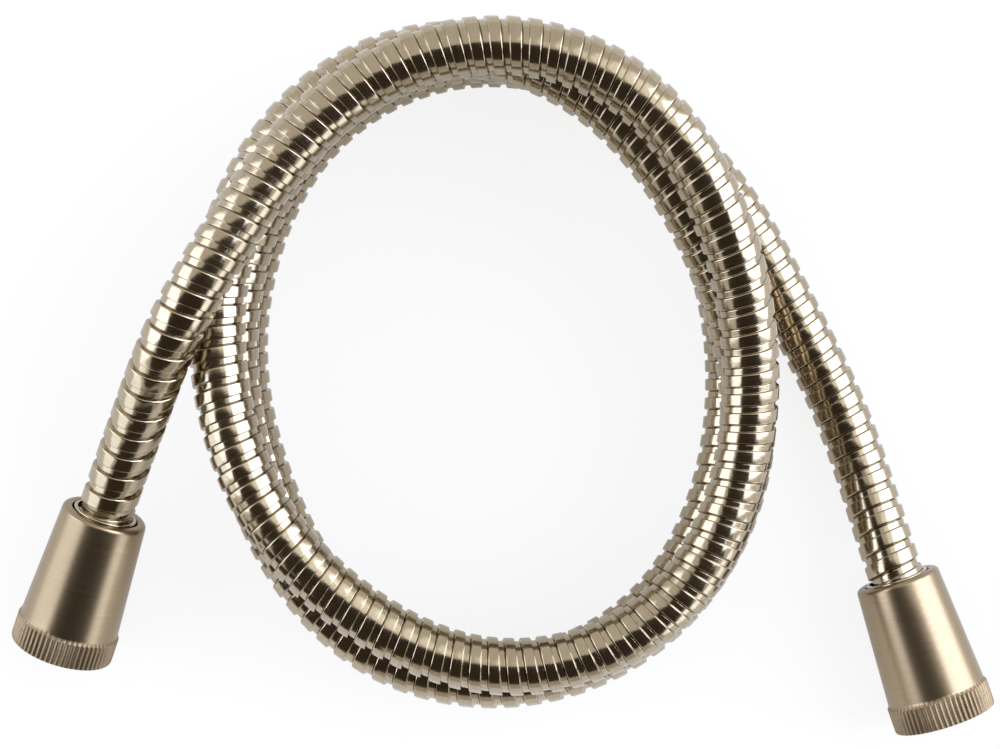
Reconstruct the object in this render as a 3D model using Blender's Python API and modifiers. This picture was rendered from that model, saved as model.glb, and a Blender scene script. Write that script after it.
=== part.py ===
"""A metal shower hose, 1.75 m long overall, in a loose coil of three turns.

Each end has a conical union nut with a knurled rim, which turns on the hose's tail.
Run with: blender --background --python part.py
"""
import math

import bmesh
import bpy
import numpy as np
from mathutils import Matrix, Vector

# Sizes in metres. A depth is measured along a nut's axis from its open mouth.

# Fits
FIT = 0.0003
SWIVEL_CLEARANCE = 0.0004

# Hose
HOSE_RADIUS = 0.007
CASING_WALL = 0.0014
TUBE_BORE_RADIUS = 0.004
ROUTE_SAMPLES = 76

# Union nut
NUT_LENGTH = 0.0375
RIM_RADIUS = 0.013
RIM_WIDTH = 0.0066
RIM_CHAMFER = 0.0005
RIM_STEP = 0.0006
CONE_RADIUS = 0.0125
NECK_RADIUS = 0.0107
NECK_ROUNDING = 0.0012
THREAD_RADIUS = 0.0105
MOUTH_CHAMFER = 0.0004
SOCKET_DEPTH = 0.011
CHAMBER_RADIUS = 0.0094
KNURL_GROOVES = 60
KNURL_DEPTH = 0.00035

# Tail, ferrule, bearing and washer
FLANGE_THICKNESS = 0.002
TAIL_ROOT_RADIUS = 0.0046
TAIL_BORE_RADIUS = 0.0026
STEM_RADIUS = 0.0032
BARB_RADIUS = 0.0035
BARB_PITCH = 0.0042
BARB_SLOPE = 0.6
BARBS = 4
FERRULE_WALL = 0.0007
FERRULE_FRONT = 0.0024
FERRULE_SETBACK = 0.0016
BEARING_THICKNESS = 0.0019
WASHER_RADIUS = 0.0092
WASHER_BORE_RADIUS = 0.0055
WASHER_THICKNESS = 0.002

# Sizes that follow from those above
TUBE_RADIUS = HOSE_RADIUS - CASING_WALL - FIT
FERRULE_BORE_RADIUS = HOSE_RADIUS + FIT
FERRULE_RADIUS = FERRULE_BORE_RADIUS + FERRULE_WALL
NECK_BORE_RADIUS = FERRULE_RADIUS + SWIVEL_CLEARANCE
FLANGE_RADIUS = CHAMBER_RADIUS - FIT
FLANGE_BACK = SOCKET_DEPTH + FLANGE_THICKNESS
SHOULDER_DEPTH = FLANGE_BACK + BEARING_THICKNESS + 2 * FIT
FERRULE_FACE = FLANGE_BACK + FIT
FERRULE_FLOOR = FERRULE_FACE + FERRULE_FRONT
HOSE_END_DEPTH = FERRULE_FLOOR + FIT

# Where the nuts lie: the neck's place in plan, the way from neck to mouth in plan,
# and how far the mouth points down. The left nut leans on its rim, the right one lies flat.
LEFT_NECK = (-0.0993, 0.0262)
LEFT_HEADING = math.radians(-109.92)
LEFT_DROP = math.radians(12.5)
RIGHT_NECK = (0.0995, 0.0094)
RIGHT_HEADING = math.radians(-70.91)
RIGHT_DROP = 0.0

# The hose's centre line between the two necks, from the left nut to the right one.
LEFT_LEG = [
    (-0.0934, 0.0403, 0.0274), (-0.0871, 0.0536, 0.0372), (-0.0805, 0.0673, 0.0465),
    (-0.0725, 0.0815, 0.0509), (-0.0631, 0.0968, 0.0508), (-0.0515, 0.1131, 0.0504),
]
TOP_TURN = [
    (-0.0275, 0.1327, 0.0505), (0.0028, 0.1386, 0.0507), (0.0314, 0.1272, 0.0504), (0.0498, 0.1027, 0.0480),
    (0.0587, 0.0739, 0.0409), (0.0587, 0.0433, 0.0360), (0.0479, 0.0141, 0.0362), (0.0241, -0.0058, 0.0361),
    (-0.0063, -0.0095, 0.0360), (-0.0347, 0.0030, 0.0360), (-0.0565, 0.0252, 0.0361), (-0.0678, 0.0541, 0.0361),
    (-0.0685, 0.0851, 0.0359), (-0.0572, 0.1139, 0.0360),
]
MIDDLE_TURN = [
    (-0.0340, 0.1345, 0.0362), (-0.0039, 0.1393, 0.0362), (0.0242, 0.1266, 0.0362), (0.0442, 0.1028, 0.0342),
    (0.0568, 0.0754, 0.0264), (0.0608, 0.0453, 0.0216), (0.0513, 0.0157, 0.0217), (0.0296, -0.0064, 0.0217),
    (0.0000, -0.0153, 0.0217), (-0.0301, -0.0085, 0.0216), (-0.0524, 0.0129, 0.0216), (-0.0646, 0.0415, 0.0216),
    (-0.0678, 0.0725, 0.0216), (-0.0606, 0.1026, 0.0216),
]
BOTTOM_TURN = [
    (-0.0421, 0.1276, 0.0216), (-0.0140, 0.1400, 0.0216), (0.0163, 0.1352, 0.0217), (0.0400, 0.1152, 0.0214),
    (0.0538, 0.0881, 0.0150), (0.0585, 0.0584, 0.0079), (0.0536, 0.0278, 0.0073), (0.0376, 0.0012, 0.0071),
    (0.0107, -0.0139, 0.0071), (-0.0199, -0.0123, 0.0071), (-0.0451, 0.0056, 0.0071), (-0.0602, 0.0329, 0.0071),
    (-0.0669, 0.0633, 0.0071), (-0.0629, 0.0941, 0.0071),
]
RIGHT_LEG = [
    (-0.0480, 0.1212, 0.0071), (-0.0221, 0.1381, 0.0071), (0.0087, 0.1400, 0.0071), (0.0368, 0.1268, 0.0072),
    (0.0582, 0.1042, 0.0071), (0.0736, 0.0770, 0.0072), (0.0870, 0.0489, 0.0074), (0.0936, 0.0290, 0.0095),
]

# How finely round pieces are cut
NUT_STEPS = 32
SMALL_STEPS = 24
HOSE_BEVEL_RESOLUTION = 3
MERGE = 0.00001
SHARP_ANGLE = math.radians(35)


def clear_scene():
    """Remove whatever objects the scene holds."""
    for thing in list(bpy.data.objects):
        bpy.data.objects.remove(thing)


def make_collection(name):
    """Add a collection to the scene."""
    collection = bpy.data.collections.new(name)
    bpy.context.scene.collection.children.link(collection)
    return collection


def make_material(name, colour, roughness, metallic):
    """A plain Principled material."""
    material = bpy.data.materials.new(name)
    material.use_nodes = True
    shader = material.node_tree.nodes["Principled BSDF"]
    shader.inputs["Base Color"].default_value = (*colour, 1.0)
    shader.inputs["Roughness"].default_value = roughness
    shader.inputs["Metallic"].default_value = metallic
    return material


def as_mesh(thing):
    """Put an object's evaluated mesh in its place, shaded smooth with its edges left sharp."""
    graph = bpy.context.evaluated_depsgraph_get()
    mesh = bpy.data.meshes.new_from_object(thing.evaluated_get(graph))
    mesh.shade_smooth()
    mesh.set_sharp_from_angle(angle=SHARP_ANGLE)
    thing.modifiers.clear()
    thing.data = mesh


def turned(name, profile, steps, material, collection):
    """Turn a closed profile of (radius, depth) points, outer side first, about the local Z axis.

    Local Z runs from the neck at 0 to the mouth at NUT_LENGTH, so a depth counts down from there.
    """
    mesh = bpy.data.meshes.new(name)
    points = [(radius, 0.0, NUT_LENGTH - depth) for radius, depth in profile]
    edges = [(i, (i + 1) % len(points)) for i in range(len(points))]
    mesh.from_pydata(points, edges, [])
    mesh.materials.append(material)
    thing = bpy.data.objects.new(name, mesh)
    collection.objects.link(thing)
    screw = thing.modifiers.new("turn", "SCREW")
    screw.axis = "Z"
    screw.angle = math.tau
    screw.steps = steps
    screw.render_steps = steps
    screw.use_merge_vertices = True
    screw.merge_threshold = MERGE
    as_mesh(thing)
    return thing


def arc(centre_radius, centre_depth, radius, start, end, points):
    """Points of an arc in a profile, its angles in degrees from the outward direction."""
    turns = [math.radians(start + (end - start) * i / (points - 1)) for i in range(points)]
    return [(centre_radius + radius * math.cos(t), centre_depth + radius * math.sin(t)) for t in turns]


def nut_profile():
    """The union nut's section: knurled rim, cone, rounded neck, then the bores back to the mouth."""
    outer = [
        (RIM_RADIUS - RIM_CHAMFER, 0.0),
        (RIM_RADIUS, RIM_CHAMFER),
        (RIM_RADIUS, RIM_WIDTH),
        (CONE_RADIUS, RIM_WIDTH + RIM_STEP),
    ]
    neck = arc(NECK_RADIUS - NECK_ROUNDING, NUT_LENGTH - NECK_ROUNDING, NECK_ROUNDING, 0, 90, 4)
    inner = [
        (NECK_BORE_RADIUS, NUT_LENGTH),
        (NECK_BORE_RADIUS, SHOULDER_DEPTH),
        (CHAMBER_RADIUS, SHOULDER_DEPTH),
        (CHAMBER_RADIUS, SOCKET_DEPTH),
        (THREAD_RADIUS, SOCKET_DEPTH),
        (THREAD_RADIUS, MOUTH_CHAMFER),
        (THREAD_RADIUS + MOUTH_CHAMFER, 0.0),
    ]
    return outer + neck + inner


def knurl_cutter(name, empty, collection):
    """A ring of square bars, one edge inwards, that cut the straight grooves in a nut's rim."""
    bar = 2 * KNURL_DEPTH
    length = RIM_WIDTH + RIM_STEP + 2 * RIM_CHAMFER
    middle = NUT_LENGTH + RIM_CHAMFER - length / 2
    place = Matrix.Translation((RIM_RADIUS - KNURL_DEPTH + bar / math.sqrt(2), 0, middle))
    on_edge = Matrix.Rotation(math.pi / 4, 4, "Z")
    size = Matrix.Diagonal((bar, bar, length, 1))
    cutter = bmesh.new()
    for i in range(KNURL_GROOVES):
        turn = Matrix.Rotation(math.tau * (i + 0.5) / KNURL_GROOVES, 4, "Z")
        bmesh.ops.create_cube(cutter, size=1.0, matrix=turn @ place @ on_edge @ size)
    mesh = bpy.data.meshes.new(name)
    cutter.to_mesh(mesh)
    cutter.free()
    thing = bpy.data.objects.new(name, mesh)
    thing.hide_render = True
    thing.display_type = "WIRE"
    thing.parent = empty
    collection.objects.link(thing)
    return thing


def nut(name, material, collection, cutter):
    """The union nut, turned and then knurled."""
    thing = turned(name, nut_profile(), NUT_STEPS, material, collection)
    knurl = thing.modifiers.new("knurl", "BOOLEAN")
    knurl.operation = "DIFFERENCE"
    knurl.solver = "EXACT"
    knurl.object = cutter
    return thing


def tail_profile():
    """The tail's section: a flange under the washer, a root, and a barbed stem down the tube."""
    outer = [
        (FLANGE_RADIUS, SOCKET_DEPTH),
        (FLANGE_RADIUS, FLANGE_BACK),
        (TAIL_ROOT_RADIUS, FLANGE_BACK),
        (TAIL_ROOT_RADIUS, FERRULE_FLOOR),
        (STEM_RADIUS, FERRULE_FLOOR),
    ]
    first = HOSE_END_DEPTH + BARB_PITCH / 2
    for i in range(BARBS):
        rise = first + i * BARB_PITCH
        outer += [(STEM_RADIUS, rise), (BARB_RADIUS, rise), (STEM_RADIUS, rise + BARB_PITCH * BARB_SLOPE)]
    tip = first + BARBS * BARB_PITCH
    return outer + [(STEM_RADIUS, tip), (TAIL_BORE_RADIUS, tip), (TAIL_BORE_RADIUS, SOCKET_DEPTH)]


def ferrule_profile():
    """The ferrule's section: a front wall round the tail's root, and a skirt over the hose."""
    back = NUT_LENGTH - FERRULE_SETBACK
    hole = TAIL_ROOT_RADIUS + FIT
    return [
        (FERRULE_RADIUS, FERRULE_FACE),
        (FERRULE_RADIUS, back),
        (FERRULE_BORE_RADIUS, back),
        (FERRULE_BORE_RADIUS, FERRULE_FLOOR),
        (hole, FERRULE_FLOOR),
        (hole, FERRULE_FACE),
    ]


def ring_profile(radius, bore, face, thickness):
    """The section of a flat ring."""
    return [(radius, face), (radius, face + thickness), (bore, face + thickness), (bore, face)]


def nut_axis(heading, drop):
    """The way from a nut's neck to its mouth."""
    level = math.cos(drop)
    return Vector((level * math.cos(heading), level * math.sin(heading), -math.sin(drop)))


def neck_point(plan, drop):
    """The middle of a nut's neck face, so high that the rim just touches the table."""
    height = RIM_RADIUS * math.cos(drop) + (NUT_LENGTH - RIM_CHAMFER) * math.sin(drop)
    return Vector((plan[0], plan[1], height))


def make_end(side, plan, heading, drop, materials, collection, cutters):
    """One end of the hose: nut, washer, tail, bearing and ferrule on one empty at the neck."""
    empty = bpy.data.objects.new(side + "_end", None)
    empty.location = neck_point(plan, drop)
    empty.rotation_mode = "QUATERNION"
    empty.rotation_quaternion = nut_axis(heading, drop).to_track_quat("Z", "Y")
    collection.objects.link(empty)
    cutter = knurl_cutter(side + "_knurl_cutter", empty, cutters)
    washer_face = SOCKET_DEPTH - FIT - WASHER_THICKNESS
    washer = ring_profile(WASHER_RADIUS, WASHER_BORE_RADIUS, washer_face, WASHER_THICKNESS)
    bearing = ring_profile(FLANGE_RADIUS, FERRULE_RADIUS + FIT, FLANGE_BACK + FIT, BEARING_THICKNESS)
    pieces = [
        nut(side + "_nut", materials["nickel"], collection, cutter),
        turned(side + "_washer", washer, SMALL_STEPS, materials["rubber"], collection),
        turned(side + "_tail", tail_profile(), SMALL_STEPS, materials["brass"], collection),
        turned(side + "_bearing", bearing, SMALL_STEPS, materials["plastic"], collection),
        turned(side + "_ferrule", ferrule_profile(), SMALL_STEPS, materials["nickel"], collection),
    ]
    for piece in pieces:
        piece.parent = empty


def route():
    """The hose's centre line: straight in each nut, and through the route's points between them."""
    reach = NUT_LENGTH - HOSE_END_DEPTH
    left = neck_point(LEFT_NECK, LEFT_DROP)
    right = neck_point(RIGHT_NECK, RIGHT_DROP)
    left_way = nut_axis(LEFT_HEADING, LEFT_DROP)
    right_way = nut_axis(RIGHT_HEADING, RIGHT_DROP)
    start = [left + left_way * reach * share for share in (1.0, 0.5, 0.0)]
    end = [right + right_way * reach * share for share in (0.0, 0.5, 1.0)]
    middle = LEFT_LEG + TOP_TURN + MIDDLE_TURN + BOTTOM_TURN + RIGHT_LEG
    return np.array([tuple(point) for point in start] + middle + [tuple(point) for point in end])


def smooth(knots, count):
    """Points at even steps along the natural cubic spline through the knots."""
    chords = np.linalg.norm(np.diff(knots, axis=0), axis=1)
    at = np.concatenate([[0.0], np.cumsum(chords)])
    last = len(knots) - 1
    system = np.eye(last + 1)
    target = np.zeros_like(knots)
    for i in range(1, last):
        system[i, i - 1:i + 2] = chords[i - 1], 2 * (chords[i - 1] + chords[i]), chords[i]
        slopes = (knots[i + 1] - knots[i]) / chords[i] - (knots[i] - knots[i - 1]) / chords[i - 1]
        target[i] = 6 * slopes
    bend = np.linalg.solve(system, target)
    fine = np.linspace(0.0, at[-1], 40 * len(knots))
    k = np.clip(np.searchsorted(at, fine, side="right") - 1, 0, last - 1)
    step = chords[k][:, None]
    ahead = (at[k + 1] - fine)[:, None]
    behind = (fine - at[k])[:, None]
    curve = (bend[k] * ahead ** 3 + bend[k + 1] * behind ** 3) / (6 * step)
    curve += (knots[k] / step - bend[k] * step / 6) * ahead
    curve += (knots[k + 1] / step - bend[k + 1] * step / 6) * behind
    along = np.concatenate([[0.0], np.cumsum(np.linalg.norm(np.diff(curve, axis=0), axis=1))])
    even = np.linspace(0.0, along[-1], count)
    return np.stack([np.interp(even, along, curve[:, axis]) for axis in range(3)], axis=1)


def hose_layer(name, radius, wall, points, material, collection):
    """A hollow tube along the points, its wall measured inwards from the radius."""
    curve = bpy.data.curves.new(name, "CURVE")
    curve.dimensions = "3D"
    curve.bevel_depth = radius
    curve.bevel_resolution = HOSE_BEVEL_RESOLUTION
    curve.use_fill_caps = False
    spline = curve.splines.new("POLY")
    spline.points.add(len(points) - 1)
    for point, place in zip(spline.points, points):
        point.co = (*place, 1.0)
    curve.materials.append(material)
    thing = bpy.data.objects.new(name, curve)
    collection.objects.link(thing)
    shell = thing.modifiers.new("wall", "SOLIDIFY")
    shell.thickness = wall
    shell.offset = -1.0
    return thing


def main():
    """Build the hose and its two ends."""
    clear_scene()
    parts = make_collection("shower_hose")
    cutters = make_collection("cutters")
    materials = {
        "steel": make_material("polished_steel", (0.66, 0.60, 0.50), 0.22, 1.0),
        "nickel": make_material("satin_nickel", (0.60, 0.51, 0.39), 0.35, 1.0),
        "brass": make_material("brass", (0.78, 0.62, 0.32), 0.35, 1.0),
        "rubber": make_material("black_rubber", (0.03, 0.03, 0.03), 0.7, 0.0),
        "tube": make_material("grey_rubber", (0.30, 0.30, 0.31), 0.6, 0.0),
        "plastic": make_material("white_plastic", (0.85, 0.85, 0.82), 0.4, 0.0),
    }
    points = smooth(route(), ROUTE_SAMPLES)
    hose_layer("outer_hose", HOSE_RADIUS, CASING_WALL, points, materials["steel"], parts)
    hose_layer("inner_tube", TUBE_RADIUS, TUBE_RADIUS - TUBE_BORE_RADIUS, points, materials["tube"], parts)
    make_end("left", LEFT_NECK, LEFT_HEADING, LEFT_DROP, materials, parts, cutters)
    make_end("right", RIGHT_NECK, RIGHT_HEADING, RIGHT_DROP, materials, parts, cutters)


main()
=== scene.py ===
"""A coiled metal shower hose with two union nuts, dressed for a photograph from above.

The casing is one stripwound tube swept along the hose's route. Everything on its two ends is
turned from profiles: the nuts, ferrules, tails, bearings and washers. All sizes are in metres.
"""
import logging
import math
from dataclasses import dataclass
from enum import Enum

import bpy
import numpy as np
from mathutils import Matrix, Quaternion, Vector


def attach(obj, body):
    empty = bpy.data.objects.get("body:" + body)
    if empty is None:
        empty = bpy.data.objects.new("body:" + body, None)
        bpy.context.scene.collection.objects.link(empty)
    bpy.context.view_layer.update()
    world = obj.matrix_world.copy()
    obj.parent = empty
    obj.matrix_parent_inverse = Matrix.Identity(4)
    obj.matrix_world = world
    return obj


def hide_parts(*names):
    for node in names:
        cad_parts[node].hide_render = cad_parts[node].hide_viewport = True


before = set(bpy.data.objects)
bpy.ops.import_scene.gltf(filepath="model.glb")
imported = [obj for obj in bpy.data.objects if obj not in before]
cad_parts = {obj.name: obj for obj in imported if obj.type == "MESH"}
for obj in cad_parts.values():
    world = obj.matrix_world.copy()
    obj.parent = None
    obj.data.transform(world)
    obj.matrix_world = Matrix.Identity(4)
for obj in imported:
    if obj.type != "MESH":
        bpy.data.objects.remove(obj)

log = logging.getLogger("shower_hose")
Point = tuple[float, float, float]

# Fits
FIT = 0.0003
SWIVEL_CLEARANCE = 0.0004

# Hose
HOSE_RADIUS = 0.007

# Union nut. A depth is measured along a nut's axis from its open mouth.
NUT_LENGTH = 0.0375
RIM_RADIUS = 0.013
RIM_WIDTH = 0.0066
RIM_CHAMFER = 0.0005
RIM_STEP = 0.0006
CONE_RADIUS = 0.0125
NECK_RADIUS = 0.0107
NECK_ROUNDING = 0.0012
THREAD_RADIUS = 0.0105
THREAD_PITCH = 0.001814
THREAD_HEIGHT = 0.00116
THREAD_RUN_OUT = 0.5 * THREAD_PITCH
THREAD_RELIEF = 1.2 * THREAD_PITCH
MOUTH_CHAMFER = 0.0004
SOCKET_DEPTH = 0.011
CHAMBER_RADIUS = 0.0094
KNURL_GROOVES = 60
KNURL_DEPTH = 0.00035

# Tail, ferrule, bearing and washer
FLANGE_THICKNESS = 0.002
TAIL_ROOT_RADIUS = 0.0046
TAIL_BORE_RADIUS = 0.0026
TAIL_EDGE = 0.0002
STEM_RADIUS = 0.0032
BARB_RADIUS = 0.0035
BARB_PITCH = 0.0042
BARB_SLOPE = 0.6
BARBS = 4
FERRULE_WALL = 0.0007
FERRULE_FRONT = 0.0024
FERRULE_STAND = 0.0003
FERRULE_ROLL = 0.0004
GROOVE_BELOW_NECK = 0.0009
GROOVE_HALF_WIDTH = 0.0002
GROOVE_DEPTH = 0.0002
BEARING_THICKNESS = 0.0019
WASHER_RADIUS = 0.0092
WASHER_BORE_RADIUS = 0.0055
WASHER_THICKNESS = 0.002
RING_CHAMFER_SHARE = 0.15

# Sizes that follow from those above
FERRULE_BORE_RADIUS = HOSE_RADIUS + FIT
FERRULE_RADIUS = FERRULE_BORE_RADIUS + FERRULE_WALL
NECK_BORE_RADIUS = FERRULE_RADIUS + SWIVEL_CLEARANCE
FLANGE_RADIUS = CHAMBER_RADIUS - FIT
FLANGE_BACK = SOCKET_DEPTH + FLANGE_THICKNESS
SHOULDER_DEPTH = FLANGE_BACK + BEARING_THICKNESS + 2 * FIT
FERRULE_FACE = FLANGE_BACK + FIT
FERRULE_FLOOR = FERRULE_FACE + FERRULE_FRONT
HOSE_END_DEPTH = FERRULE_FLOOR + FIT

# The hose's centre line between the two necks, from the left nut to the right one. The points come from
# a least-squares fit that ran outside this script and began from places read in the photograph.
LEFT_LEG = [
    (-0.0934, 0.0403, 0.0274), (-0.0871, 0.0536, 0.0372), (-0.0805, 0.0673, 0.0465),
    (-0.0725, 0.0815, 0.0509), (-0.0631, 0.0968, 0.0508), (-0.0515, 0.1131, 0.0504),
]
TOP_TURN = [
    (-0.0275, 0.1327, 0.0505), (0.0028, 0.1386, 0.0507), (0.0314, 0.1272, 0.0504),
    (0.0498, 0.1027, 0.0480), (0.0587, 0.0739, 0.0409), (0.0587, 0.0433, 0.0360),
    (0.0479, 0.0141, 0.0362), (0.0241, -0.0058, 0.0361), (-0.0063, -0.0095, 0.0360),
    (-0.0347, 0.0030, 0.0360), (-0.0565, 0.0252, 0.0361), (-0.0678, 0.0541, 0.0361),
    (-0.0685, 0.0851, 0.0359), (-0.0572, 0.1139, 0.0360),
]
MIDDLE_TURN = [
    (-0.0340, 0.1345, 0.0362), (-0.0039, 0.1393, 0.0362), (0.0242, 0.1266, 0.0362),
    (0.0442, 0.1028, 0.0342), (0.0568, 0.0754, 0.0264), (0.0608, 0.0453, 0.0216),
    (0.0513, 0.0157, 0.0217), (0.0296, -0.0064, 0.0217), (0.0000, -0.0153, 0.0217),
    (-0.0301, -0.0085, 0.0216), (-0.0524, 0.0129, 0.0216), (-0.0646, 0.0415, 0.0216),
    (-0.0678, 0.0725, 0.0216), (-0.0606, 0.1026, 0.0216),
]
BOTTOM_TURN = [
    (-0.0421, 0.1276, 0.0216), (-0.0140, 0.1400, 0.0216), (0.0163, 0.1352, 0.0217),
    (0.0400, 0.1152, 0.0214), (0.0538, 0.0881, 0.0150), (0.0585, 0.0584, 0.0079),
    (0.0536, 0.0278, 0.0073), (0.0376, 0.0012, 0.0071), (0.0107, -0.0139, 0.0071),
    (-0.0199, -0.0123, 0.0071), (-0.0451, 0.0056, 0.0071), (-0.0602, 0.0329, 0.0071),
    (-0.0669, 0.0633, 0.0071), (-0.0629, 0.0941, 0.0071),
]
RIGHT_LEG = [
    (-0.0480, 0.1212, 0.0071), (-0.0221, 0.1381, 0.0071), (0.0087, 0.1400, 0.0071),
    (0.0368, 0.1268, 0.0072), (0.0582, 0.1042, 0.0071), (0.0736, 0.0770, 0.0072),
    (0.0870, 0.0489, 0.0074), (0.0936, 0.0290, 0.0095),
]

# The casing's pitch by distance along the hose, after the ribs measured in the photograph: the strip is
# drawn out on the left leg.
PITCH_PLACES = [
    (0.000, 0.0066), (0.035, 0.0067), (0.050, 0.0067), (0.062, 0.0062), (0.075, 0.0055), (0.090, 0.0051),
    (0.110, 0.0050), (0.135, 0.00485), (0.165, 0.0049), (0.178, 0.00475), (0.195, 0.0046), (0.215, 0.0047),
    (0.240, 0.0048), (0.270, 0.0050), (0.285, 0.0051), (0.305, 0.0049), (0.330, 0.0047), (0.370, 0.00455),
    (0.400, 0.0045), (0.425, 0.0046), (0.450, 0.0048), (0.475, 0.0049), (0.505, 0.0048), (0.560, 0.0052),
    (0.600, 0.0050), (0.700, 0.0051), (1.560, 0.0051), (1.630, 0.0051), (1.722, 0.0053),
]

# One pitch of the strip's section: share of the pitch, radius, and how far the surface's normal
# tilts towards the hose's far end, in degrees. The crest comes first, then the groove and the valley.
CREST_DROP = 0.0008
CASING_SECTION = [
    (0.000, HOSE_RADIUS - CREST_DROP, -45),
    (0.008, HOSE_RADIUS - 0.28 * CREST_DROP, -75),
    (0.028, HOSE_RADIUS - 0.05 * CREST_DROP, -32),
    (0.062, HOSE_RADIUS, -3),
    (0.560, HOSE_RADIUS, 3),
    (0.600, HOSE_RADIUS - 0.08 * CREST_DROP, 32),
    (0.632, HOSE_RADIUS - 0.38 * CREST_DROP, 72),
    (0.640, HOSE_RADIUS - 1.35 * CREST_DROP, 60),
    (0.684, HOSE_RADIUS - 1.35 * CREST_DROP, -50),
    (0.696, HOSE_RADIUS - 1.02 * CREST_DROP, -24),
    (0.730, HOSE_RADIUS - 0.98 * CREST_DROP, 0),
    (0.978, HOSE_RADIUS - 0.98 * CREST_DROP, 0),
]

# Painted shade in the deep gap between the strip's turns: its middle and width as shares of the pitch, how
# much it darkens the base colour, and how sharply its edges fall
CREVICE_SHARE = 0.665
CREVICE_WIDTH = 0.070
CREVICE_PAINTED_SHADE = 0.3
CREVICE_EDGE = 2.5

# How long one turn of the casing is in its mesh's own coordinates, whatever its pitch
CASING_MEAN_PITCH = 0.005

# How finely the hose's line is cut to sum up its pitch, and how many points of its centre line are sampled
PITCH_SAMPLES = 4001
PATH_POINTS = 900

# How finely turned pieces are cut, and where rings stand on the cone as shares of its length
NUT_SIDES = 480
RING_SIDES = 96
TAIL_SIDES = 64
THREAD_ROWS_PER_TURN = 10
NECK_ARC_POINTS = 7
ROLL_ARC_POINTS = 6
CONE_RINGS = (0.02, 0.25, 0.5, 0.75)

# Photograph: the camera looks straight down, with +Y up in the picture.
CAMERA_PLACE = (-0.0008, 0.0608, 0.600)
SENSOR_WIDTH = 36.0
FOCAL_LENGTH = 83.556


class Side(Enum):
    """The hose's two ends."""

    LEFT = "left"
    RIGHT = "right"


class Slot(Enum):
    """Material slots of the record."""

    CASING = "casing"
    NUT = "nut"
    FERRULE = "ferrule"
    TAIL = "tail"
    TUBE = "tube"
    WASHER = "washer"
    BEARING = "bearing"


@dataclass(frozen=True)
class EndPlace:
    """Where one nut lies.

    Attributes:
        side: The end of the hose.
        plan: The neck's place in plan.
        heading: The way from the neck to the mouth in plan, as an angle from +X.
        drop: How far the mouth points down, as an angle.
    """

    side: Side
    plan: tuple[float, float]
    heading: float
    drop: float

    @property
    def axis(self) -> Vector:
        """The way from the neck to the mouth.

        Returns:
            A unit vector.
        """
        level = math.cos(self.drop)
        ahead = (level * math.cos(self.heading), level * math.sin(self.heading))
        return Vector((*ahead, -math.sin(self.drop)))

    @property
    def neck(self) -> Vector:
        """The middle of the neck's face, so high that the rim just touches the table."""
        height = RIM_RADIUS * math.cos(self.drop) + (NUT_LENGTH - RIM_CHAMFER) * math.sin(self.drop)
        return Vector((*self.plan, height))


LEFT_END = EndPlace(
    side=Side.LEFT, plan=(-0.0993, 0.0262), heading=math.radians(-109.92), drop=math.radians(12.5),
)
RIGHT_END = EndPlace(side=Side.RIGHT, plan=(0.0995, 0.0094), heading=math.radians(-70.91), drop=0.0)


@dataclass(eq=False)
class Socket:
    """A node's output with arithmetic: numbers use Math nodes and colours or vectors use Vector Math."""

    graph: "Graph"
    output: bpy.types.NodeSocket

    @property
    def is_vector(self) -> bool:
        """Whether the output holds three values."""
        return self.output.type in {"VECTOR", "RGBA"}

    def _maths(self, operation: str, other: "Socket | float", flipped: bool = False) -> "Socket":
        """Join this output and another value.

        Args:
            operation: A name that both Math and Vector Math nodes have.
            other: The second value.
            flipped: Whether the other value comes first.

        Returns:
            The result's socket.
        """
        vector = self.is_vector or (isinstance(other, Socket) and other.is_vector)
        kind = "ShaderNodeVectorMath" if vector else "ShaderNodeMath"
        first, second = (other, self) if flipped else (self, other)
        if vector:
            first, second = self.graph.spread(first), self.graph.spread(second)
        return self.graph.node(kind, {"operation": operation}, {0: first, 1: second})

    def __add__(self, other: "Socket | float") -> "Socket":
        """Sum."""
        return self._maths("ADD", other)

    def __sub__(self, other: "Socket | float") -> "Socket":
        """Difference."""
        return self._maths("SUBTRACT", other)

    def __rsub__(self, other: float) -> "Socket":
        """Difference from a plain number."""
        return self._maths("SUBTRACT", other, flipped=True)

    def __mul__(self, other: "Socket | float") -> "Socket":
        """Product."""
        return self._maths("MULTIPLY", other)

    def __truediv__(self, other: "Socket | float") -> "Socket":
        """Quotient."""
        return self._maths("DIVIDE", other)

    def clamp(self) -> "Socket":
        """The value held between 0 and 1."""
        return self.graph.node("ShaderNodeClamp", {}, {"Value": self})


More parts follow.
